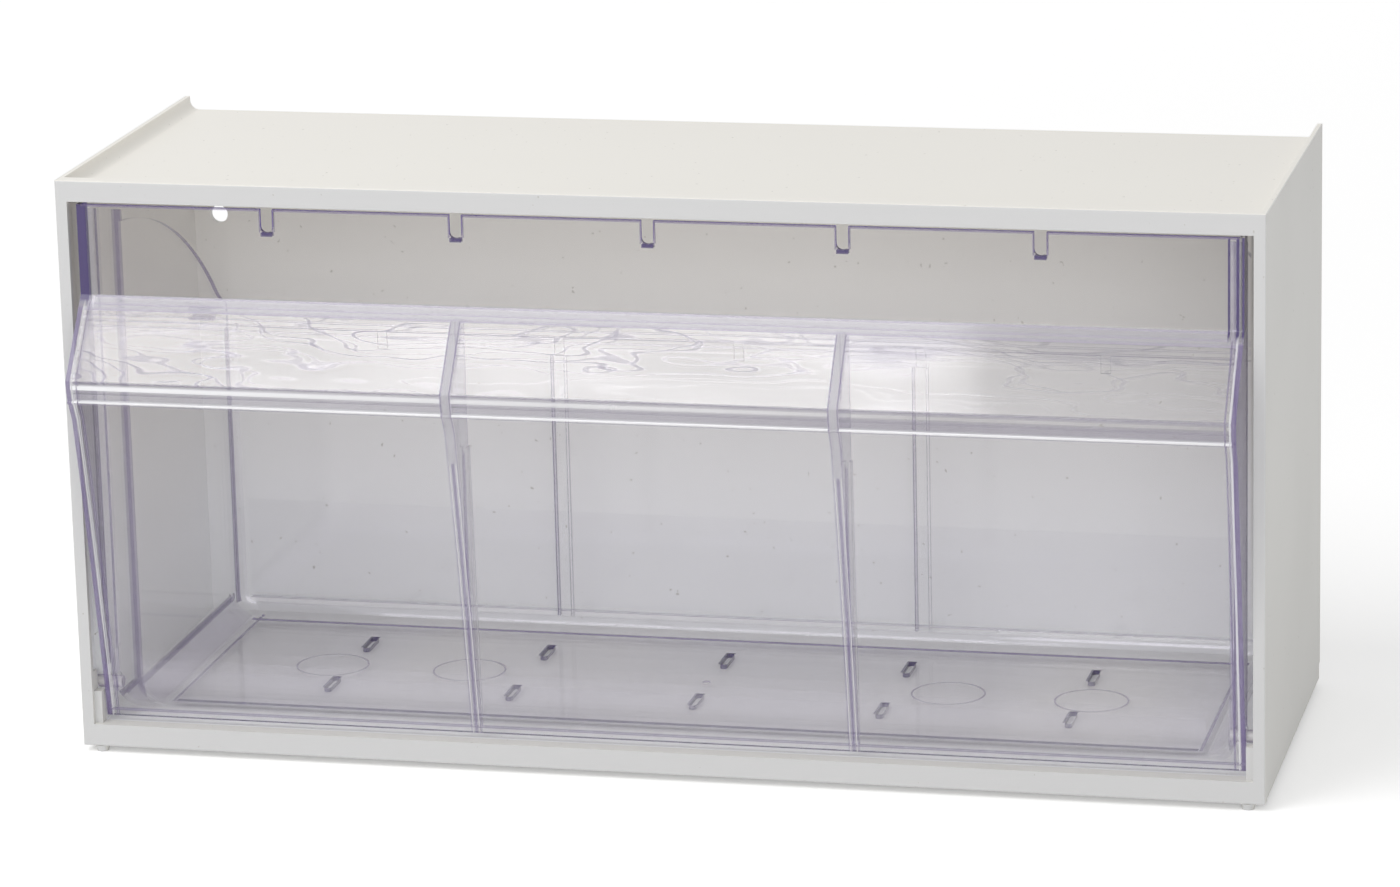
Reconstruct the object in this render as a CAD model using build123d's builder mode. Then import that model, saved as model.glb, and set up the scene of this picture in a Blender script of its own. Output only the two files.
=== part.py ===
from build123d import *
from math import atan2, degrees, sqrt
import os

# A countertop or wall-hung store bin: an off-white moulded housing, open at the front,
# and one wide clear bin that tilts out on two pins low in its front corners.
# Millimetres, +Z up, front towards -Y. The origin is under the middle of the whole bin.
# Heights in the profiles are from the housing's underside, depths from its front plane.

# Housing
width = 600.0
depth = 208.5
height = 292.0
wall = 3.0
rail_wall = 2.5          # side wall beside the recessed top
top_recess = 7.0
top_plate = 2.5
top_bar = 10.5           # height of the front frame's top member
bottom_bar = 11.4        # height of its bottom member
bar_depth = 8.0
strip_width = 6.0        # side members of the front frame
strip_depth = 3.0
cove_radius = 5.0
bottom_plate = 2.5
bottom_rib = 2.0
bottom_rib_height = 6.0
bottom_rib_count = 3
nest_step = 0.4          # shallow step along the lower outside
nest_height = 8.6
edge_round = 0.8
hole_radius = 4.7
hole_inset = 16.6
hole_height = 229.5

# Feet
foot_height = 3.4
foot_radius = 4.0
foot_tip_radius = 2.9
foot_inset = 8.75
stem_radius = 2.0
stem_length = 6.0

# Pivot, seen from the side
pivot_y = 12.0
pivot_z = 31.0
pin_radius = 3.0
pin_clearance = 0.08
pin_end_gap = 0.3
pin_chamfer = 0.5
pad_gap = 0.7            # pad beside the bin's end
saddle_reach = 7.0       # saddle in front of and behind the pin's centre
saddle_rise = 7.0

# Tilt stop: a rib down each side wall, just behind the pin
stop_gap = 1.2           # rib beside the bin's end
stop_start = 3.2         # rib's front face behind the pin's centre
stop_thickness = 2.8
stop_jog = 1.7           # the rib stands back by this much near the pin
stop_jog_low = 78.0
stop_jog_high = 83.0

# Clear front
side_gap = 4.5           # bin's end beside the frame's side members
top_gap = 1.4            # under the frame's top member
bottom_gap = 2.6         # over its bottom member
front_skin = 2.3
front_web = 2.3
front_face_y = 1.2       # upright strip above the roof, behind the housing's front plane
roof_bend_z = 234.6
lip_reach = 28.0         # the lip stands out of the housing by this much
lip_z = 197.0
nose_steps = [(0.9, 6.1), (2.1, 10.9), (7.1, 21.2)]  # back and down from the lip
panel_hollow = 1.3       # the panel below the nose is this hollow
panel_foot_y = 8.8
lip_round = 1.5
bead_radius = 0.9
web_rear = 11.0
web_bottom = 41.0
gusset_width = 5.0
gusset_rear = 2.5
gusset_top = 228.0
divider_pitch = 96.0
front_notch_width = 6.2
front_notch_depth = 11.7
notch_reach = 2          # notches on each side of the middle one
channel_wall = 1.3
channel_slot = 2.0
channel_top = 163.0
channel_bottom = 17.0
channel_top_y = 6.5
channel_bottom_y = 13.5
channel_gap = 0.3

# Clear tub
mouth_inset = 6.0        # tub's side wall inside the front's end
tub_jog = 3.4            # the walls step in by this much
jog_y = 33.0
tub_wall = 2.1
tub_floor = 2.3
floor_gap = 0.3
rear_gap = 13.2          # behind the rear wall
flange = 2.1
mouth_drop = 4.1         # flange below the front's top edge
shoulder_drop = 9.9
swing_gap = 17.0         # top edge, curved about the pins, under the housing's top
rear_drop = 4.3
rear_step = 14.0         # rear wall below the end of the curved edge
side_round = 14.0
rear_round = 8.0
toe_y = 37.0             # the floor starts to curve up here
toe_round = 28.8
toe_wall = 2.7
toe_top = 50.0
boss_radius = 5.0
lug_radius = 4.0
lug_rear_gap = 14.3      # lug's middle in front of the rear wall
lug_inset = 10.1         # and inside the curved edge
lug_overlap = 2.2        # how far the lug reaches behind the stop rib
rear_notch_width = 5.1
rear_notch_depth = 9.2
rear_rib = 1.4
rear_rib_depth = 2.5
rear_rib_spacing = 7.2
rear_rib_bottom = 21.7
slot_width = 3.8
slot_length = 20.0
slot_front_gap = 42.0    # rows of slots from the toe and from the rear wall
slot_rear_gap = 40.7

# Places that follow from the sizes
base_z = foot_height
front_y = (lip_reach - depth) / 2
seat_z = bottom_bar
ceiling_z = height - top_recess - top_plate
wall_inner = width / 2 - wall
front_half = width / 2 - strip_width - side_gap
front_width = 2 * front_half
front_top = height - top_bar - top_gap
front_bottom = bottom_bar + bottom_gap
nose_points = [(back - lip_reach, lip_z - down) for back, down in nose_steps]
mouth_half = front_half - mouth_inset
tub_half = mouth_half - tub_jog
floor_under = seat_z + floor_gap
floor_top = floor_under + tub_floor
tub_rear_y = depth - wall - rear_gap
tub_inner_rear = tub_rear_y - tub_wall
slot_rows = (toe_y + slot_front_gap, tub_inner_rear - slot_rear_gap)
toe_outer = toe_round + toe_wall
stop_inner = front_half + stop_gap
pin_length = wall_inner - pin_end_gap - (mouth_half - tub_wall)
divider_x = [divider_pitch * step for step in (-1, 1)]
notch_x = [divider_pitch * step for step in range(-notch_reach, notch_reach + 1)]

# side: local x is depth and local y is height; across: local x is width and local y is height
side = Plane(origin=(0, front_y, base_z), x_dir=(0, 1, 0), z_dir=(1, 0, 0))
across = Plane(origin=(0, front_y, base_z), x_dir=(1, 0, 0), z_dir=(0, -1, 0))
level = Plane(origin=(0, front_y, base_z))

os.makedirs("parts", exist_ok=True)

# Front's outer line, carried on past its edges so that offsets stay true there
margin = 20.0
with BuildSketch() as outside_line:
    with BuildLine():
        brow = FilletPolyline(
            (front_face_y, front_top + margin),
            (front_face_y, roof_bend_z),
            (-lip_reach, lip_z),
            *nose_points,
            radius=lip_round,
        )
        panel = SagittaArc(nose_points[-1], (panel_foot_y, front_bottom), panel_hollow)
        Polyline(
            panel @ 1,
            panel @ 1 + (panel % 1) * margin,
            (depth + margin, front_bottom - margin),
            (depth + margin, front_top + margin),
            brow @ 0,
        )
    make_face()

with BuildSketch() as behind_skin:
    add(outside_line.sketch)
    offset(amount=-front_skin)

# Divider channel behind each gusset, seen from the side
with BuildSketch() as channel_side:
    with BuildLine():
        Polyline(
            (-lip_reach, channel_top),
            (channel_top_y, channel_top),
            (channel_bottom_y, channel_bottom + channel_wall),
            (channel_bottom_y - channel_wall, channel_bottom),
            (-lip_reach, channel_bottom),
            close=True,
        )
    make_face()

# Housing: one moulding, open at the front
with BuildPart() as housing:
    with BuildSketch(across):
        Rectangle(width, height, align=(Align.CENTER, Align.MIN))
    extrude(amount=-depth)
    fillet(housing.faces().sort_by(Axis.Y)[0].edges(), radius=edge_round)
    # recessed top, running out at the back
    with BuildSketch(level.offset(height)):
        with Locations((0, bar_depth)):
            Rectangle(width - 2 * rail_wall, depth, align=(Align.CENTER, Align.MIN))
    extrude(amount=-top_recess, mode=Mode.SUBTRACT)
    recess_floor = housing.faces().filter_by(Axis.Z).sort_by(Axis.Z)[-2]
    fillet(recess_floor.edges().filter_by(Axis.Y), radius=cove_radius)
    # opening in the front frame
    with BuildSketch(across):
        with Locations((0, bottom_bar)):
            Rectangle(
                width - 2 * strip_width,
                height - bottom_bar - top_bar,
                align=(Align.CENTER, Align.MIN),
            )
    extrude(amount=-bar_depth, mode=Mode.SUBTRACT)
    # room behind the frame's side strips, then the full height behind its bars
    with BuildSketch(across.offset(-strip_depth)):
        with Locations((0, seat_z)):
            Rectangle(2 * wall_inner, height - seat_z - top_bar, align=(Align.CENTER, Align.MIN))
    extrude(amount=strip_depth + wall - depth, mode=Mode.SUBTRACT)
    with BuildSketch(across.offset(-bar_depth)):
        with Locations((0, seat_z)):
            Rectangle(2 * wall_inner, ceiling_z - seat_z, align=(Align.CENTER, Align.MIN))
    extrude(amount=bar_depth + wall - depth, mode=Mode.SUBTRACT)
    # hollow underside with stiffening ribs
    with BuildSketch(level):
        with Locations((0, depth / 2)):
            Rectangle(2 * wall_inner, depth - 2 * bar_depth)
    extrude(amount=seat_z - bottom_plate, mode=Mode.SUBTRACT)
    with BuildSketch(level.offset(seat_z - bottom_plate)):
        with Locations((0, depth / 2)):
            with GridLocations(width / (bottom_rib_count + 1), 0, bottom_rib_count, 1):
                Rectangle(bottom_rib, depth - 2 * bar_depth)
    extrude(amount=-bottom_rib_height)
    for hand in (-1, 1):
        # step along the lower outside, where a housing nests on the one below
        with BuildSketch(side.offset(hand * width / 2)):
            with Locations((bar_depth, 0)):
                Rectangle(depth, nest_height, align=(Align.MIN, Align.MIN))
        extrude(amount=-hand * nest_step, mode=Mode.SUBTRACT)
        # pad under the pin
        with BuildSketch(side.offset(hand * wall_inner)):
            with Locations((strip_depth, seat_z)):
                Rectangle(
                    pivot_y + saddle_reach - strip_depth,
                    pivot_z - pin_radius - pin_clearance - seat_z,
                    align=(Align.MIN, Align.MIN),
                )
        extrude(amount=-hand * (wall_inner - front_half - pad_gap))
        # saddle that holds the pin, open at the top
        with BuildSketch(side.offset(hand * wall_inner)):
            with Locations((strip_depth, seat_z)):
                Rectangle(
                    pivot_y + saddle_reach - strip_depth,
                    pivot_z + saddle_rise - seat_z,
                    align=(Align.MIN, Align.MIN),
                )
            with Locations((pivot_y, pivot_z)):
                Circle(pin_radius + pin_clearance, mode=Mode.SUBTRACT)
                Rectangle(
                    2 * (pin_radius + pin_clearance),
                    2 * saddle_rise,
                    align=(Align.CENTER, Align.MIN),
                    mode=Mode.SUBTRACT,
                )
        extrude(amount=-hand * (strip_width - wall))
        # tilt stop rib
        with BuildSketch(across.offset(-pivot_y - stop_start)):
            with BuildLine():
                Polyline(
                    (hand * wall_inner, seat_z),
                    (hand * (stop_inner + stop_jog), seat_z),
                    (hand * (stop_inner + stop_jog), stop_jog_low),
                    (hand * stop_inner, stop_jog_high),
                    (hand * stop_inner, ceiling_z),
                    (hand * wall_inner, ceiling_z),
                    close=True,
                )
            make_face()
        extrude(amount=-stop_thickness)
        # round holes for two wall screws
        with BuildSketch(across.offset(-depth)):
            with Locations((hand * (width / 2 - hole_inset), hole_height)):
                Circle(hole_radius)
        extrude(amount=wall, mode=Mode.SUBTRACT)
        # sockets for the feet
        with BuildSketch(level):
            with Locations(
                (hand * (width / 2 - foot_inset), bar_depth / 2),
                (hand * (width / 2 - foot_inset), depth - bar_depth / 2),
            ):
                Circle(stem_radius)
        extrude(amount=stem_length, mode=Mode.SUBTRACT)

# Feet: tapered pegs with a stem pressed into the housing
foot_places = {
    "front_left_foot": (-1, bar_depth / 2),
    "front_right_foot": (1, bar_depth / 2),
    "back_left_foot": (-1, depth - bar_depth / 2),
    "back_right_foot": (1, depth - bar_depth / 2),
}
for foot_name, (hand, foot_y) in foot_places.items():
    foot_plane = across.offset(-foot_y).shift_origin(
        (hand * (width / 2 - foot_inset), front_y + foot_y, base_z)
    )
    with BuildPart() as foot:
        with BuildSketch(foot_plane):
            with BuildLine():
                Polyline(
                    (0, -foot_height),
                    (foot_tip_radius, -foot_height),
                    (foot_radius, 0),
                    (stem_radius, 0),
                    (stem_radius, stem_length),
                    (0, stem_length),
                    close=True,
                )
            make_face()
        revolve(axis=Axis(foot_plane.origin, (0, 0, 1)))
    foot.part.label = foot_name
    export_step(foot.part, "parts/" + foot_name + ".step")

# Clear front: skin, end webs, gussets and divider channels in one moulding
with BuildPart() as bin_front:
    with BuildSketch(side.offset(-front_half)):
        add(outside_line.sketch)
        with Locations((web_rear, front_bottom)):
            Rectangle(
                lip_reach + web_rear,
                front_top - front_bottom,
                align=(Align.MAX, Align.MIN),
                mode=Mode.INTERSECT,
            )
    extrude(amount=front_width)
    # hollow between the end webs
    with BuildSketch(side.offset(front_web - front_half)):
        add(behind_skin.sketch)
    extrude(amount=front_width - 2 * front_web, mode=Mode.SUBTRACT)
    # the webs stop above the pins
    with BuildSketch(side.offset(-front_half)):
        add(behind_skin.sketch)
        with Locations((-lip_reach, front_bottom - margin)):
            Rectangle(
                depth,
                web_bottom - front_bottom + margin,
                align=(Align.MIN, Align.MIN),
                mode=Mode.INTERSECT,
            )
    extrude(amount=front_width, mode=Mode.SUBTRACT)
    # bead under the lip
    with BuildSketch(side.offset(-front_half)):
        with Locations(nose_points[1]):
            Circle(bead_radius)
    extrude(amount=front_width)
    for gusset_x in divider_x:
        with BuildSketch(side.offset(gusset_x - gusset_width / 2)):
            add(outside_line.sketch)
            with Locations((gusset_rear, front_bottom)):
                Rectangle(
                    lip_reach + gusset_rear,
                    gusset_top - front_bottom,
                    align=(Align.MAX, Align.MIN),
                    mode=Mode.INTERSECT,
                )
        extrude(amount=gusset_width)
        # two channel walls with the divider's slot between them
        for step in (-1, 1):
            rib_middle = gusset_x + step * (channel_slot + channel_wall) / 2
            with BuildSketch(side.offset(rib_middle - channel_wall / 2)):
                add(outside_line.sketch)
                add(channel_side.sketch, mode=Mode.INTERSECT)
            extrude(amount=channel_wall)
    # notches in the top edge, with round bottoms
    with BuildSketch(across.offset(lip_reach)):
        for x in notch_x:
            with Locations((x, front_top - front_notch_depth + front_notch_width / 2)):
                Circle(front_notch_width / 2)
                Rectangle(front_notch_width, front_notch_depth, align=(Align.CENTER, Align.MIN))
    extrude(amount=-lip_reach - web_rear, mode=Mode.SUBTRACT)

# Room inside the tub: a wide mouth, then the narrower body
with BuildPart() as bin_room:
    with BuildSketch(across.offset(lip_reach)):
        with Locations((0, floor_top)):
            mouth_section = Rectangle(
                2 * (mouth_half - tub_wall), height, align=(Align.CENTER, Align.MIN)
            )
        fillet(mouth_section.vertices().group_by(Axis.Y)[0], radius=side_round)
    extrude(amount=-lip_reach - jog_y)
    with BuildSketch(across.offset(-jog_y)):
        with Locations((0, floor_top)):
            body_section = Rectangle(
                2 * (tub_half - tub_wall), height, align=(Align.CENTER, Align.MIN)
            )
        fillet(body_section.vertices().group_by(Axis.Y)[0], radius=side_round)
    extrude(amount=jog_y - tub_inner_rear)
    fillet(bin_room.faces().sort_by(Axis.Y)[-1].edges(), radius=rear_round)
    # the floor curves up to the front
    with BuildSketch(side.offset(-mouth_half)):
        with BuildLine():
            inner_toe = JernArc((toe_y, floor_top), (-1, 0), toe_round, -90)
            Polyline(
                inner_toe @ 1,
                (toe_y - toe_round, 2 * height),
                (depth, 2 * height),
                (depth, floor_top),
                inner_toe @ 0,
            )
        make_face()
    extrude(amount=2 * mouth_half, mode=Mode.INTERSECT)

# Clear tub: its side walls' top edge is an arc about the pins, from the jog to the rear wall
swing_radius = ceiling_z - pivot_z - swing_gap
swing_y = jog_y + tub_wall
rear_drop_y = tub_rear_y - rear_drop
swing_start = (swing_y, pivot_z + sqrt(swing_radius**2 - (swing_y - pivot_y) ** 2))
swing_end = (rear_drop_y, pivot_z + sqrt(swing_radius**2 - (rear_drop_y - pivot_y) ** 2))
start_angle = degrees(atan2(swing_start[1] - pivot_z, swing_start[0] - pivot_y))
end_angle = degrees(atan2(swing_end[1] - pivot_z, swing_end[0] - pivot_y))
rear_top = swing_end[1] - rear_step
mouth_top = front_top - mouth_drop
shoulder_top = front_top - shoulder_drop
lug_y = tub_rear_y - lug_rear_gap
lug_z = pivot_z + sqrt((swing_radius - lug_inset) ** 2 - (lug_y - pivot_y) ** 2)
with BuildPart() as bin_tub:
    with BuildSketch(across.offset(lip_reach)):
        with Locations((0, floor_under)):
            mouth_section = Rectangle(2 * mouth_half, height, align=(Align.CENTER, Align.MIN))
        fillet(mouth_section.vertices().group_by(Axis.Y)[0], radius=side_round + tub_wall)
    extrude(amount=-lip_reach - swing_y)
    with BuildSketch(across.offset(-jog_y)):
        with Locations((0, floor_under)):
            body_section = Rectangle(2 * tub_half, height, align=(Align.CENTER, Align.MIN))
        fillet(body_section.vertices().group_by(Axis.Y)[0], radius=side_round + tub_wall)
    extrude(amount=jog_y - tub_rear_y)
    fillet(bin_tub.faces().sort_by(Axis.Y)[-1].edges(), radius=rear_round + tub_wall)
    # flange round the mouth, which the front's end webs seat on
    with BuildSketch(across.offset(-web_rear)):
        with Locations((0, pivot_z)):
            Rectangle(front_width, mouth_top - pivot_z, align=(Align.CENTER, Align.MIN))
    extrude(amount=-flange)
    # side outline: curved toe, sloping shoulder, top edge swung about the pins
    with BuildSketch(side.offset(-front_half)):
        with BuildLine():
            outer_toe = JernArc((toe_y, floor_under), (-1, 0), toe_outer, -90)
            Polyline(
                outer_toe @ 1,
                (toe_y - toe_outer, toe_top),
                (web_rear, toe_top),
                (web_rear, mouth_top),
                (swing_y, shoulder_top),
                swing_start,
            )
            CenterArc((pivot_y, pivot_z), swing_radius, start_angle, end_angle - start_angle)
            Polyline(
                swing_end,
                (rear_drop_y, rear_top),
                (depth, rear_top),
                (depth, floor_under),
                outer_toe @ 0,
            )
        make_face()
    extrude(amount=front_width, mode=Mode.INTERSECT)
    # bosses round the pins
    for hand in (-1, 1):
        with BuildSketch(side.offset(hand * (mouth_half - tub_wall))):
            with Locations((pivot_y, pivot_z)):
                Circle(boss_radius)
        extrude(amount=hand * (front_half - mouth_half + tub_wall))
    # the tub stays behind the front's skin
    with BuildSketch(side.offset(-front_half)):
        add(behind_skin.sketch)
    extrude(amount=front_width, mode=Mode.INTERSECT)
    add(bin_room.part, mode=Mode.SUBTRACT)
    for hand in (-1, 1):
        # bore for the pin
        with BuildSketch(side.offset(hand * front_half)):
            with Locations((pivot_y, pivot_z)):
                Circle(pin_radius)
        extrude(amount=-hand * (front_half - mouth_half + tub_wall), mode=Mode.SUBTRACT)
        # lug that meets the housing's stop rib when the bin is fully out
        with BuildSketch(side.offset(hand * (tub_half - tub_wall / 2))):
            with Locations((lug_y, lug_z)):
                Circle(lug_radius)
        extrude(amount=hand * (stop_inner + lug_overlap - tub_half + tub_wall / 2))
    for divider in divider_x:
        # slots in the toe that the front's divider channels pass through
        key_width = channel_slot + 2 * (channel_wall + channel_gap)
        with BuildSketch(side.offset(divider - key_width / 2)):
            add(channel_side.sketch)
            offset(amount=channel_gap)
        extrude(amount=key_width, mode=Mode.SUBTRACT)
        # ribs on the rear wall that hold a divider's rear edge
        with BuildSketch(across.offset(-tub_inner_rear)):
            with Locations((divider, rear_rib_bottom)):
                with GridLocations(rear_rib_spacing, 0, 2, 1):
                    Rectangle(
                        rear_rib,
                        rear_top - rear_notch_depth - rear_rib_bottom,
                        align=(Align.CENTER, Align.MIN),
                    )
        extrude(amount=rear_rib_depth)
    # notches in the rear wall's top edge
    with BuildSketch(across.offset(-tub_rear_y)):
        for x in notch_x:
            with Locations((x, rear_top)):
                Rectangle(rear_notch_width, rear_notch_depth, align=(Align.CENTER, Align.MAX))
    extrude(amount=tub_wall, mode=Mode.SUBTRACT)
    # two rows of narrow slots through the floor
    with BuildSketch(level.offset(floor_under)):
        for x in notch_x:
            for row in slot_rows:
                with Locations((x, row)):
                    SlotOverall(slot_length, slot_width, rotation=90)
    extrude(amount=tub_floor, mode=Mode.SUBTRACT)

# Pivot pins, pressed into the tub's bosses
with BuildPart() as right_pivot_pin:
    with BuildSketch(side.offset(mouth_half - tub_wall)):
        with Locations((pivot_y, pivot_z)):
            Circle(pin_radius)
    extrude(amount=pin_length)
    chamfer(right_pivot_pin.edges().sort_by(Axis.X)[-1], length=pin_chamfer)

with BuildPart() as left_pivot_pin:
    with BuildSketch(side.offset(tub_wall - mouth_half)):
        with Locations((pivot_y, pivot_z)):
            Circle(pin_radius)
    extrude(amount=-pin_length)
    chamfer(left_pivot_pin.edges().sort_by(Axis.X)[0], length=pin_chamfer)

housing.part.label = "housing"
export_step(housing.part, "parts/housing.step")
bin_front.part.label = "bin_front"
export_step(bin_front.part, "parts/bin_front.step")
bin_tub.part.label = "bin_tub"
export_step(bin_tub.part, "parts/bin_tub.step")
right_pivot_pin.part.label = "right_pivot_pin"
export_step(right_pivot_pin.part, "parts/right_pivot_pin.step")
left_pivot_pin.part.label = "left_pivot_pin"
export_step(left_pivot_pin.part, "parts/left_pivot_pin.step")
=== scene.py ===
import math

import bmesh
import bpy
from mathutils import Matrix, Vector


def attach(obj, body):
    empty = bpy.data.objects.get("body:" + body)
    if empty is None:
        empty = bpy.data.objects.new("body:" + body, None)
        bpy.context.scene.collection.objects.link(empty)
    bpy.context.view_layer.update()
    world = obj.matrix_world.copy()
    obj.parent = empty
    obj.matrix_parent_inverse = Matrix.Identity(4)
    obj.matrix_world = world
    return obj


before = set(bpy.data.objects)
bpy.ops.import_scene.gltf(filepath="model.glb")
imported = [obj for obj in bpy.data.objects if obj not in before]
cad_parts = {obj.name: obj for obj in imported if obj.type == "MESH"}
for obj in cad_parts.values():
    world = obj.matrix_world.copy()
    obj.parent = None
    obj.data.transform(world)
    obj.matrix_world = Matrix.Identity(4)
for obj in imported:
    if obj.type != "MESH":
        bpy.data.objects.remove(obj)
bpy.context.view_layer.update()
print("stage: solids loaded,", len(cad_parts), "nodes")


# One socket of a node tree: the operators on it add their Math nodes
class Wire:
    def __init__(self, tree, socket=None):
        self.tree = tree
        self.socket = socket

    def node(self, kind, settings=None, sockets=None, out=0):
        made = self.tree.nodes.new(kind)
        for key, value in (settings or {}).items():
            setattr(made, key, value)
        for key, value in (sockets or {}).items():
            if isinstance(value, Wire):
                self.tree.links.new(value.socket, made.inputs[key])
            else:
                made.inputs[key].default_value = value
        return Wire(self.tree, made.outputs[out] if made.outputs else None)

    def maths(self, operation, first, second=0.0, clamp=False):
        settings = {"operation": operation, "use_clamp": clamp}
        return self.node("ShaderNodeMath", settings, {0: first, 1: second})

    def __add__(self, other):
        return self.maths("ADD", self, other)

    def __sub__(self, other):
        return self.maths("SUBTRACT", self, other)

    def __rsub__(self, other):
        return self.maths("SUBTRACT", other, self)

    def __mul__(self, other):
        return self.maths("MULTIPLY", self, other)

    def __gt__(self, other):
        return self.maths("GREATER_THAN", self, other)

    def __lt__(self, other):
        return self.maths("LESS_THAN", self, other)

    def __or__(self, other):                      # the larger of two masks
        return self.maths("MAXIMUM", self, other)

    def __mod__(self, other):                     # what is left over, never negative
        return self.maths("FLOORED_MODULO", self, other)

    def __abs__(self):
        return self.maths("ABSOLUTE", self)


def within(value, low, high):
    return (value > low) * (value < high)


def line(value, middle, width):
    return abs(value - middle) < width / 2


def ramp(value, low, high):
    return value.maths("DIVIDE", value - low, high - low, clamp=True)


def mix(share, first, second):
    return share.node("ShaderNodeMix", {"data_type": "RGBA"}, {0: share, 6: first, 7: second}, out=2)


# One layer over what is already there: its mask, its colour and how much of the see-through it covers
def paint(look, mask, colour, cover):
    under, share = look
    return mix(mask, under, colour), share + mask * (cover - share)


# Rows of (mask, tone's name, cover), laid on in turn
def paintAll(look, tones, rows):
    for mask, name, cover in rows:
        look = paint(look, mask, tones[name], cover)
    return look


def tone(text):
    values = [int(text[i : i + 2], 16) / 255 for i in (0, 2, 4)]
    return tuple(v / 12.92 if v < 0.04045 else ((v + 0.055) / 1.055) ** 2.4 for v in values) + (1.0,)


def newFinish(name):
    material = bpy.data.materials.new(name)
    material.use_nodes = True
    material.node_tree.nodes.clear()
    return material, Wire(material.node_tree)


def finished(material, sheet, shader):
    sheet.node("ShaderNodeOutputMaterial", None, {"Surface": shader})
    return material


# Where the housing's front plane and its underside lie in the frame, in millimetres
housingFront = -90.25
underside = 3.4


# A point of the surface in millimetres (across, back from the housing's front, up from its
# underside) and how much it faces each way, to either side
def surface(sheet):
    vector = sheet.node("ShaderNodeTexCoord", None, None, "Object")
    facing = sheet.node("ShaderNodeTexCoord", None, None, "Normal")
    x, y, z = (sheet.node("ShaderNodeSeparateXYZ", None, {0: vector}, i) for i in range(3))
    turned = tuple(abs(sheet.node("ShaderNodeSeparateXYZ", None, {0: facing}, i)) for i in range(3))
    return vector, (x * 1000.0, y * 1000.0 - housingFront, z * 1000.0 - underside), turned


def cloud(vector, stretch, scale, detail=3.0, roughness=0.5):
    laid = vector.node("ShaderNodeMapping", None, {"Vector": vector, "Scale": stretch})
    sockets = {"Vector": laid, "Scale": scale, "Detail": detail, "Roughness": roughness}
    return vector.node("ShaderNodeTexNoise", None, sockets)


def bump(height, distance, strength):
    return height.node("ShaderNodeBump", None, {"Height": height, "Distance": distance, "Strength": strength})


def dress(node, material):
    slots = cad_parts[node].data.materials
    slots.clear()
    slots.append(material)


# Housing: satin off-white moulding with a fine mould grain; the recessed top is painted lighter and warmer as
# painted light, the front face darker as painted shade, and the inside lighter low down and darker high up as
# painted light and shade
housingLook = {
    "face": tone("E0DFDB"),
    "front": tone("D0D0D0"),
    "cloudy": tone("D8D7D3"),
    "top": tone("F9F6EF"),
    "inside": tone("FBFCFD"),
    "insideHigh": tone("E7E4DE"),
    "insideShade": tone("D3D0CB"),
    "fleck": tone("A9A59B"),
    "roughness": 0.44,
    "specular": 0.4,
    "grain": 900.0,
    "grainDepth": 0.00002,
    "specks": 420.0,
    "cloudiness": 8.0,
    "frameDepth": 9.0,
    "topHeight": 280.0,
    "outerSide": 299.5,
    "room": (297.2, (8.5, 205.7), (10.0, 282.3)),  # the inside: half width, depths, heights
    # painted shade: the inside gets darker to the right and high up
    "shadeFrom": (40.0, 290.0),                    # the inside is darker to the right, high up
    "highFrom": (60.0, 240.0),
}


def satinPlastic(name, look):
    material, sheet = newFinish(name)
    vector, (x, y, z), (nx, ny, nz) = surface(sheet)
    patches = cloud(vector, (1, 1, 1), look["cloudiness"], 4.0)
    grain = cloud(vector, (1, 1, 1), look["grain"], 2.0)
    specks = cloud(vector, (1, 1, 1), look["specks"], 1.0, 0.3)
    half, depth, height = look["room"]
    inside = (abs(x) < half) * within(y, *depth) * within(z, *height)
    top = (ny < 0.7) * (z > look["topHeight"]) * (abs(x) < look["outerSide"])
    colour = mix(ramp(patches, 0.4, 0.75) * 0.4, look["face"], look["cloudy"])
    # painted shade: the frame's front face is a darker copy of the moulding
    colour = mix((ny > 0.7) * (y < look["frameDepth"]), colour, look["front"])
    # painted light: the top, with the rails' faces up there, is a lighter and warmer copy of the moulding
    colour = mix(top * 0.9, colour, look["top"])
    # painted light and shade: the inside is a lighter copy of the moulding low down, darker high up and to the
    # right
    high = mix(ramp(x, *look["shadeFrom"]) * 0.8, look["insideHigh"], look["insideShade"])
    colour = mix(inside, colour, mix(ramp(z, *look["highFrom"]), look["inside"], high))
    colour = mix(ramp(specks, 0.775, 0.8) * 0.5, colour, look["fleck"])
    sockets = {
        "Base Color": colour,
        "Roughness": patches * 0.1 + grain * 0.05 + (look["roughness"] - 0.07),
        "Specular IOR Level": look["specular"],
        "Normal": bump(grain, look["grainDepth"], 0.6),
    }
    return finished(material, sheet, sheet.node("ShaderNodeBsdfPrincipled", None, sockets))


# Clear plastic: see-through, with violet where light runs along a wall and leaves at its edge
clearLook = {
    "body": tone("F5F3F4"),
    "veil": tone("D2D0D8"),
    "shade": tone("C0BEC6"),
    "streak": tone("918B9E"),
    "pale": tone("F4F2F1"),
    "white": tone("FBFBFD"),
    "lilac": tone("B9B2C6"),
    "violet": tone("7C6D9C"),
    "vivid": tone("6E5CAE"),
    "dark": tone("4A3D70"),
    "cover": 0.02,
    "grazing": 0.22,
    "shine": 0.95,                                # a bare sheet only mirrors; an edge scatters too
    "dulling": 2.1,
    "mostCover": 0.97,
    "roughness": 0.07,
    "through": (0.995, 0.994, 0.997, 1),
}


def bareSheet(sheet, look):
    facing = sheet.node("ShaderNodeLayerWeight", None, {"Blend": 0.4}, "Facing")
    return look["body"], facing * facing * facing * look["grazing"] + look["cover"]


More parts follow.
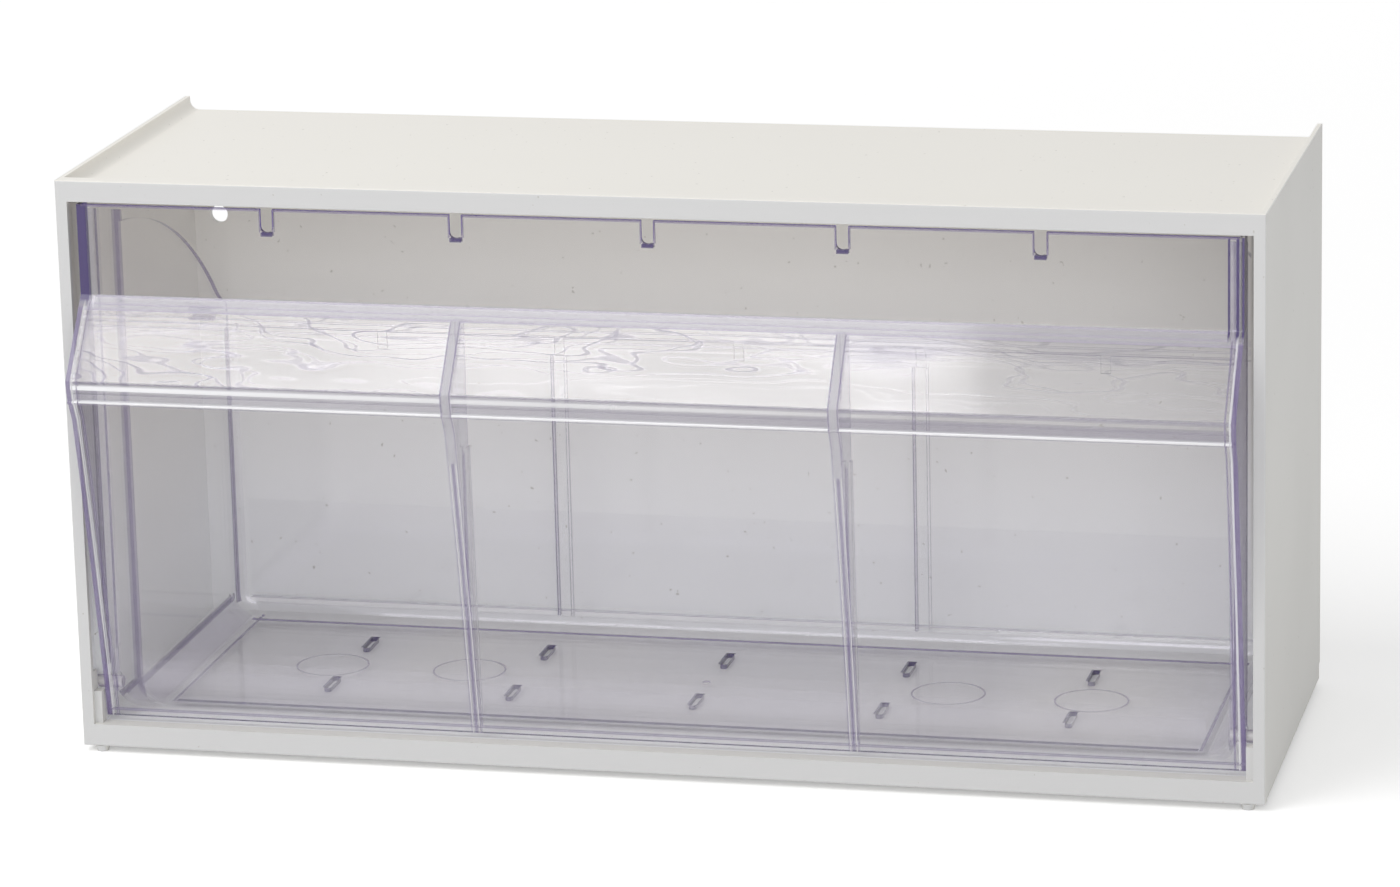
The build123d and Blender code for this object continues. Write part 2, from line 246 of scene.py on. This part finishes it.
def clearShader(sheet, look, painted, normal):
    colour, cover = painted
    window = sheet.node("ShaderNodeBsdfTransparent", None, {"Color": look["through"]})
    cover = sheet.maths("MINIMUM", cover, look["mostCover"])
    sockets = {
        "Base Color": colour,
        "Roughness": look["roughness"],
        "Metallic": sheet.maths("MAXIMUM", look["shine"] - cover * look["dulling"], 0.0),
        "Normal": normal,
    }
    body = sheet.node("ShaderNodeBsdfPrincipled", None, sockets)
    return sheet.node("ShaderNodeMixShader", None, {0: cover, 1: window, 2: body})


# The clear front: roof windows between two gussets, bright with a painted reflection, dark ends above the
# roof's foot.
# Heights, half widths and (place, width) lines
frontLook = {
    "webInside": 287.25,
    "webRear": 12.0,
    "bend": 234.6,
    "endsDarkFrom": (229.0, 232.5),
    "windowTop": 228.2,
    "ledgeLines": ((228.2, 0.7), (230.6, 0.5), (233.8, 0.6)),
    "lip": 197.0,
    "lipGlint": (194.0, 2.2),
    "lipFade": (150.0, -250.0),
    "step": (191.1, 0.5),
    "nose": 186.1,
    "pitch": 96.0,                                # of the notches; a gusset stands one pitch off each side
    "gussetHalf": 2.6,
    "channelTop": 160.0,
    "outerStripes": 288.4,
    "rightStripes": ((282.0, 0.8), (286.2, 1.2)),
    "leftStripe": 284.9,
    "top": 279.1,
    "notches": 210.0,
    "notchSide": (3.4, 0.6),
    "notchFoot": 267.6,
    "notchFootZone": (266.5, 268.6),
    "foot": 14.8,
    "footLine": (17.2, 0.7),
    "streaks": 19.0,
    "levels": 0.42,
}


def clearFront(name, look, part):
    material, sheet = newFinish(name)
    vector, (x, y, z), (nx, ny, nz) = surface(sheet)
    wide = abs(x)
    flat = nx < 0.5
    outer = (ny > 0.2) * flat
    inside = wide < part["webInside"]
    work = bareSheet(sheet, look)

    # roof windows: a painted reflection, a bright veil (brighter on the left) with darker patches towards the
    # right, streaks like wood grain and fine level lines near the top
    aside = abs(wide - part["pitch"])
    roof = outer * (nz > 0.3) * inside
    window = roof * within(z, part["lip"], part["windowTop"]) * (aside > part["gussetHalf"])
    wave = cloud(vector, (1.5, 7.5, 9.0), 2.8, 3.0, 0.55)
    rings = abs(wave * part["streaks"] % 1.0 - 0.5)
    fine = abs((z * part["levels"] + wave * 1.5) % 1.0 - 0.5)
    patches = cloud(vector, (1.0, 3.0, 4.0), 7.0, 1.0)
    leftWindow = x < -part["pitch"]
    shaded = ramp(patches, 0.52, 0.62) * ramp(x, -60.0, 120.0)
    reflectionStreaks = (1 - ramp(rings, 0.03, 0.1)) * ramp(wave, 0.3, 0.5)
    levelLines = (1 - ramp(fine, 0.06, 0.14)) * ramp(z, 215.0, 222.0)
    low, middle, high = (line(z, *place) for place in part["ledgeLines"])
    rows = [
        (window, "pale", ramp(patches, 0.3, 0.7) * 0.05 + leftWindow * 0.02 + 0.03),
        (window * shaded, "shade", 0.16),
        (window * (reflectionStreaks | levelLines), "streak", 0.36),
        (roof * within(z, part["windowTop"], part["bend"] + 0.4), "shade", 0.4),
        ((low | middle | high) * outer * inside, "lilac", 0.55),
    ]
    work = paintAll(work, look, rows)

    # the lip's small steps, each with a painted highlight line and a dark line; the highlights fade towards
    # the right
    lipLeft = ramp(x, *part["lipFade"])
    band = outer * within(z, part["nose"], part["lip"])
    work = paint(work, band, mix(lipLeft, look["streak"], look["veil"]), 0.27)
    rows = [
        (outer * line(z, part["lip"] - 0.3, 0.6), "streak", 0.5),
        (outer * line(z, *part["lipGlint"]), "white", lipLeft * 0.85),
        (outer * line(z, *part["step"]), "streak", 0.45),
        (outer * line(z, part["nose"] + 0.5, 1.0), "white", 0.75),
        (outer * line(z, part["nose"] - 0.7, 0.6), "lilac", 0.6),
    ]
    work = paintAll(work, look, rows)

    # gussets: pale sides and an outlined bar in front, and the channel under it, whose pale edges are a
    # painted highlight
    gusset = (aside < part["gussetHalf"] + 0.1) * (z < part["windowTop"])
    bar = gusset * flat
    channel = bar * (z < part["channelTop"])
    rows = [
        (gusset * (1 - flat), "veil", 0.3),
        (bar, "shade", 0.42),
        (channel * (aside > 1.5), "pale", 0.5),
        (channel * (aside < 0.7), "violet", ramp(z, 20.0, part["channelTop"]) * 0.25 + 0.3),
        (bar * (aside > part["gussetHalf"] - 0.7), "violet", ramp(z, part["channelTop"], 205.0) * 0.35 + 0.25),
    ]
    work = paintAll(work, look, rows)

    # ends: a web behind the skin, dark above the bend and lighter below it
    end = (wide > part["webInside"] - 0.4) * (1 - flat) * (y < part["webRear"])
    above = ramp(z, *part["endsDarkFrom"])
    below = 1 - above
    work = paint(work, end, mix(above, look["streak"], look["dark"]), above * 0.5 + 0.35)
    thin, thick = (line(wide, *place) for place in part["rightStripes"])
    right = (x > 0) * (thin | thick)
    left = (x < 0) * (wide > part["leftStripe"])
    stripes = right | left | (wide > part["outerStripes"])
    rows = [
        (end * line(y, 10.3, 1.6) * below, "violet", 0.7),
        ((wide > part["webInside"]) * flat * below, "violet", 0.6),
        ((wide > 281.7) * outer * above, "veil", 0.12),
        (stripes * outer * above, "dark", 0.9),
        # painted highlight: a white line along the end below the bend
        (outer * line(wide, 286.5, 0.7) * below, "white", 0.5),
        (outer * line(wide, 284.1, 0.6) * below, "violet", 0.45),
    ]
    work = paintAll(work, look, rows)

    # cut edges: along the top, round the notches and along the foot
    half = part["pitch"] / 2
    across = abs((x + half) % part["pitch"] - half)
    notched = outer * (wide < part["notches"])
    rim = (z > part["notchFoot"]) * (ny < 0.5) * inside
    rows = [
        (outer * inside * (z > part["top"]), "violet", 0.5),
        (notched * line(across, *part["notchSide"]) * (z > 268.5), "violet", 0.55),
        (notched * (across < 3.0) * within(z, *part["notchFootZone"]), "dark", 0.8),
        (rim, "vivid", 0.9),
        (rim * (z < 270.2), "dark", 0.93),
        ((z < part["foot"]) * (ny < 0.5), "dark", 0.8),
        (outer * line(z, *part["footLine"]), "violet", 0.5),
    ]
    work = paintAll(work, look, rows)

    ripple = cloud(vector, (1.0, 5.0, 5.0), 16.0, 2.0)
    return finished(material, sheet, clearShader(sheet, look, work, bump(ripple, 0.0004, 0.3)))


# The clear tub: violet cut edges, grey-violet rounds along the floor
tubLook = {
    "sideInside": 277.5,
    "mouthInside": 281.2,
    "mouthDepth": 28.0,
    "mouthLines": ((283.6, 0.7), (289.5, 1.0)),
    "jog": (28.0, 50.0),
    "rearEdge": 187.5,
    "wallTops": 160.0,
    "floorTop": 14.1,
    "floorHalf": 262.0,
    "floorSideLine": (263.4, 1.6),
    "floorRearLine": (181.2, 3.6),
    "roundTop": 28.6,
    "rearGlint": (22.4, 1.8),
    "rearLine": (23.8, 0.5),
    "toe": 37.4,
    "toeWidth": 4.0,
    "pitch": 96.0,
    "ribs": (9.4, (187.2, 190.0), 21.5),          # width of a pair, depth from and to, foot
    "ribFront": 188.4,
    "slots": 220.0,
    "slotRows": (79.0, 149.5),
    "slotReach": (60.0, 170.0),
    "slotSide": (45.1, 46.4),
    "slotEnd": (45.1, 50.2),
}


def clearTub(name, look, part):
    material, sheet = newFinish(name)
    vector, (x, y, z), (nx, ny, nz) = surface(sheet)
    wide = abs(x)
    work = bareSheet(sheet, look)
    haze = cloud(vector, (1, 1, 1), 12.0, 1.0)

    # floor: a pale veil with soft brighter patches of painted sheen
    floor = (z < part["floorTop"] + 0.3) * (nz > 0.7)
    upper = floor * (z > part["floorTop"] - 0.6)
    sheen = ramp(cloud(vector, (5.0, 1.2, 1.0), 1.6, 1.0), 0.4, 0.65)
    work = paint(work, floor, mix(sheen, look["veil"], look["pale"]), sheen * 0.1 + 0.17)

    # side walls: a pale veil as painted light; then the rounds between the floor and the walls, and up the
    # rear corners
    low = (z < part["roundTop"]) * within(nz, 0.12, 0.95)
    upright = (nx > 0.25) * (ny > 0.25) * (nz < 0.4) * (y > 150)
    rearFoot = (y > 170) * (wide < 270)
    rearWall = rearFoot * (ny > 0.6)
    rows = [
        ((nx > 0.8) * (wide > 270) * within(y, 30, 190), "pale", 0.1),
        (low * (nx > 0.3), "lilac", 0.22),
        (low * (ny > 0.3) * (y > 120), "shade", 0.15),
        (upright, "veil", 0.1),
        (upright * line(nx, 0.75, 0.12), "violet", 0.6),
        (line(wide, *part["floorSideLine"]) * upper, "violet", 0.7),
        ((z < 30) * line(nx, 0.97, 0.04) * (nz > 0.1), "violet", 0.6),
        (rearFoot * upper * line(y, *part["floorRearLine"]), "violet", 0.85),
        # painted highlight: a white glint along the rear wall's foot, brighter to the left
        (rearWall * line(z, *part["rearGlint"]), "white", ramp(x, 240.0, -200.0) * 0.6 + 0.2),
        (rearWall * line(z, *part["rearLine"]), "lilac", 0.45),
        # painted reflection: a faint veil over the rear wall's lower part
        (rearWall * within(z, 26, 78), "veil", 0.05),
    ]
    work = paintAll(work, look, rows)

    # the toe: a dark line where the floor starts to rise
    toeLine = line(y, part["toe"], part["toeWidth"]) * within(z, 13.6, 18)
    rows = [
        (toeLine * (nz > 0.3) * (wide < part["floorHalf"]), "dark", 0.9),
        ((y < part["toe"] - 2) * (nz > 0.12) * (z < 45) * (wide < 270), "veil", 0.15),
    ]
    work = paintAll(work, look, rows)

    # divider ribs on the rear wall: thin lines down both sides, the left rib's stronger
    pair, depth, ribFoot = part["ribs"]
    rib = line(wide, part["pitch"], pair) * within(y, *depth) * (z > ribFoot)
    leftOne = (x + part["pitch"] * 2) % (part["pitch"] * 2) < part["pitch"]
    work = paint(work, rib * (nx > 0.5), look["violet"], leftOne * 0.25 + 0.5)
    ribFace = rib * (ny > 0.5) * (y < part["ribFront"])
    work = paint(work, ribFace, mix(leftOne, look["veil"], look["violet"]), leftOne * 0.1 + 0.2)

    # cut edges: walls' tops, mouth, the step in the walls, notches and floor slots; round the slots also
    # painted shade
    top = (nz > 0.35) * (z > part["wallTops"])
    side = wide > part["sideInside"]
    mouth = (ny > 0.5) * (wide > part["mouthInside"]) * (y < part["mouthDepth"])
    inner, rim = (line(wide, *place) for place in part["mouthLines"])
    slots = wide < part["slots"]
    across = (x + part["pitch"] / 2) % part["pitch"]
    rows = [
        (top * side, "violet", 0.75),
        (top * (y > part["rearEdge"]), "violet", 0.6),
        ((ny > 0.6) * side * within(y, *part["jog"]), "violet", 0.4),
        (mouth, "veil", 0.2),
        (mouth * (inner | rim), "violet", 0.6),
        ((ny < 0.5) * (z > 162.5) * (y > part["rearEdge"]) * (wide < 200), "violet", 0.6),
        # floor slots: dark walls, cut edges that also stand in for the shade in the slot, and painted shade as
        # dark borders beside and behind each slot
        ((nz < 0.4) * (z < 14.3) * slots * within(y, *part["slotReach"]), "dark", 0.95),
    ]
    for row in part["slotRows"]:
        beside = within(across, *part["slotSide"]) * within(y, row - 9.0, row + 9.5)
        behind = within(across, *part["slotEnd"]) * within(y, row + 8.6, row + 10.6)
        rows.append((upper * slots * beside, "dark", 0.85))
        rows.append((upper * slots * behind, "dark", 0.85))
    work = paintAll(work, look, rows)
    return finished(material, sheet, clearShader(sheet, look, work, bump(haze, 0.0004, 0.2)))


def clearPin(name, look):
    material, sheet = newFinish(name)
    vector, _, _ = surface(sheet)
    facing = sheet.node("ShaderNodeLayerWeight", None, {"Blend": 0.5}, "Facing")
    haze = cloud(vector, (1, 1, 1), 120.0, 2.0)
    work = mix(facing, look["pale"], look["violet"]), facing * 0.45 + haze * 0.1 + 0.4
    return finished(material, sheet, clearShader(sheet, look, work, bump(haze, 0.0001, 0.3)))


housingFinish = satinPlastic("housingPlastic", housingLook)
footFinish = satinPlastic("footPlastic", {**housingLook, "face": tone("D8D7D3"), "roughness": 0.5})
frontFinish = clearFront("clearFront", clearLook, frontLook)
tubFinish = clearTub("clearTub", clearLook, tubLook)
pinFinish = clearPin("clearPin", clearLook)
dress("housing", housingFinish)
for side in ("left", "right"):
    dress(f"front_{side}_foot", footFinish)
    dress(f"back_{side}_foot", footFinish)
    dress(f"{side}_pivot_pin", pinFinish)
dress("bin_front", frontFinish)
dress("bin_tub", tubFinish)
print("stage: finishes on")


# Moulding marks on the tub's floor: ejector rings and the stub of the gate
markLook = {
    "rings": ((-0.2005, 0.0180), (-0.1275, 0.0200), (0.1240, 0.0190), (0.1975, 0.0180)),
    "radius": 0.0190,
    "lineWidth": 0.0009,
    "floor": 0.0174,
    "proud": 0.0001,
    "gate": (-0.0014, 0.0178),
    "gateRadius": 0.0022,
    "gateHeight": 0.0006,
}


def mouldingMarks(part):
    bm = bmesh.new()
    shrink = 1 - part["lineWidth"] / part["radius"]
    for x, y in part["rings"]:
        rim = bmesh.ops.create_circle(bm, segments=48, radius=part["radius"])["verts"]
        edges = list({edge for vert in rim for edge in vert.link_edges})
        grown = bmesh.ops.extrude_edge_only(bm, edges=edges)["geom"]
        inner = [item for item in grown if isinstance(item, bmesh.types.BMVert)]
        bmesh.ops.scale(bm, vec=(shrink, shrink, 1), verts=inner)
        bmesh.ops.translate(bm, vec=(x, y, part["floor"] + part["proud"]), verts=rim + inner)
    bmesh.ops.recalc_face_normals(bm, faces=bm.faces[:])
    bmesh.ops.solidify(bm, geom=bm.faces[:], thickness=part["proud"] * 2)
    stub = Vector((*part["gate"], part["floor"] + part["gateHeight"] / 2))
    bmesh.ops.create_cone(
        bm,
        cap_ends=True,
        segments=20,
        radius1=part["gateRadius"],
        radius2=part["gateRadius"] * 0.8,
        depth=part["gateHeight"],
        matrix=Matrix.Translation(stub),
    )
    bmesh.ops.recalc_face_normals(bm, faces=bm.faces[:])
    mesh = bpy.data.meshes.new("moulding_marks")
    bm.to_mesh(mesh)
    bm.free()
    mesh.materials.append(pinFinish)
    piece = bpy.data.objects.new("moulding_marks", mesh)
    bpy.context.scene.collection.objects.link(piece)
    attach(piece, "bin")


mouldingMarks(markLook)
print("stage: moulding marks")


# Studio: pale floor, white surroundings, one large softbox above in front and a weak fill
studio = {
    "floorSize": 12.0,
    "floorTone": (0.93, 0.93, 0.93, 1),
    "floorCloudy": (0.91, 0.91, 0.91, 1),
    "liftNear": 0.33,                             # seen by the camera and in reflections only
    "liftFar": 0.5,
    "liftFrom": (0.4, 3.0),
    "surroundings": 0.50,
    "softbox": {
        "power": 35.0,
        "size": (1.7, 2.0),
        "place": (-1.15, -1.35, 2.42),
        "target": (-1.15, -0.10, 0.20),
    },
    "fill": {
        "power": 13.0,
        "size": (1.6, 1.0),
        "place": (0.45, -2.4, 0.62),
        "target": (0, 0, 0.15),
    },
}


def seenRays(sheet):
    kinds = ("Is Camera Ray", "Is Glossy Ray", "Is Transmission Ray")
    camera, glossy, through = (sheet.node("ShaderNodeLightPath", None, None, kind) for kind in kinds)
    return camera | glossy | through


def floorPlane(part):
    bm = bmesh.new()
    bmesh.ops.create_grid(bm, x_segments=1, y_segments=1, size=part["floorSize"] / 2)
    mesh = bpy.data.meshes.new("floor")
    bm.to_mesh(mesh)
    bm.free()
    floor = bpy.data.objects.new("floor", mesh)
    bpy.context.scene.collection.objects.link(floor)
    material, sheet = newFinish("floorPaper")
    vector, _, _ = surface(sheet)
    far = vector.node("ShaderNodeVectorMath", {"operation": "LENGTH"}, {0: vector}, "Value")
    rise = part["liftFar"] - part["liftNear"]
    lift = seenRays(sheet) * (ramp(far, *part["liftFrom"]) * rise + part["liftNear"])
    sockets = {
        "Base Color": mix(cloud(vector, (1, 1, 1), 3.0) * 0.5, part["floorTone"], part["floorCloudy"]),
        "Roughness": 0.85,
        "Specular IOR Level": 0.1,
        "Emission Color": mix(lift, (0, 0, 0, 1), (1, 1, 1, 1)),
        "Emission Strength": 1.0,
    }
    mesh.materials.append(finished(material, sheet, sheet.node("ShaderNodeBsdfPrincipled", None, sockets)))


def softLamp(name, part):
    data = bpy.data.lights.new(name, "AREA")
    data.shape = "RECTANGLE"
    data.size, data.size_y = part["size"]
    data.energy = part["power"]
    made = bpy.data.objects.new(name, data)
    bpy.context.scene.collection.objects.link(made)
    made.location = part["place"]
    aim = Vector(part["target"]) - Vector(part["place"])
    made.rotation_euler = aim.to_track_quat("-Z", "Y").to_euler()


def whiteWorld(part):
    world = bpy.data.worlds.new("surroundings")
    bpy.context.scene.world = world
    world.use_nodes = True
    world.node_tree.nodes.clear()
    sheet = Wire(world.node_tree)
    level = part["surroundings"]
    sky = {"Color": (1, 1, 1, 1), "Strength": seenRays(sheet) * (1 - level) + level}
    back = sheet.node("ShaderNodeBackground", None, sky)
    sheet.node("ShaderNodeOutputWorld", None, {"Surface": back})


floorPlane(studio)
whiteWorld(studio)
softLamp("softbox", studio["softbox"])
softLamp("fill", studio["fill"])
print("stage: studio")


# Camera: eye level above the top, a little to the right, with the photograph's slight roll
viewpoint = {
    "place": (0.6541475, -2.7148337, 0.8954226),
    "yaw": -0.2356,
    "pitch": 0.2613,
    "roll": -0.0241,
    "lens": 148.02,
    "sensor": 36.0,
    "clip": (0.1, 50.0),
}


def photoCamera(part):
    data = bpy.data.cameras.new("camera")
    data.sensor_width = part["sensor"]
    data.lens = part["lens"]
    data.clip_start, data.clip_end = part["clip"]
    made = bpy.data.objects.new("camera", data)
    bpy.context.scene.collection.objects.link(made)
    yaw, pitch, roll = part["yaw"], part["pitch"], part["roll"]
    ahead = Vector((math.sin(yaw) * math.cos(pitch), math.cos(yaw) * math.cos(pitch), -math.sin(pitch)))
    right = Vector((math.cos(yaw), -math.sin(yaw), 0))
    up = right.cross(ahead)
    turnedRight = right * math.cos(roll) + up * math.sin(roll)
    turnedUp = up * math.cos(roll) - right * math.sin(roll)
    turn = Matrix((turnedRight, turnedUp, -ahead)).transposed().to_4x4()
    made.matrix_world = Matrix.Translation(part["place"]) @ turn
    bpy.context.scene.camera = made


photoCamera(viewpoint)
bpy.context.scene.view_settings.view_transform = "Standard"
bpy.context.scene.cycles.transparent_max_bounces = 32      # the clear walls are seen through each other
print("stage: camera")
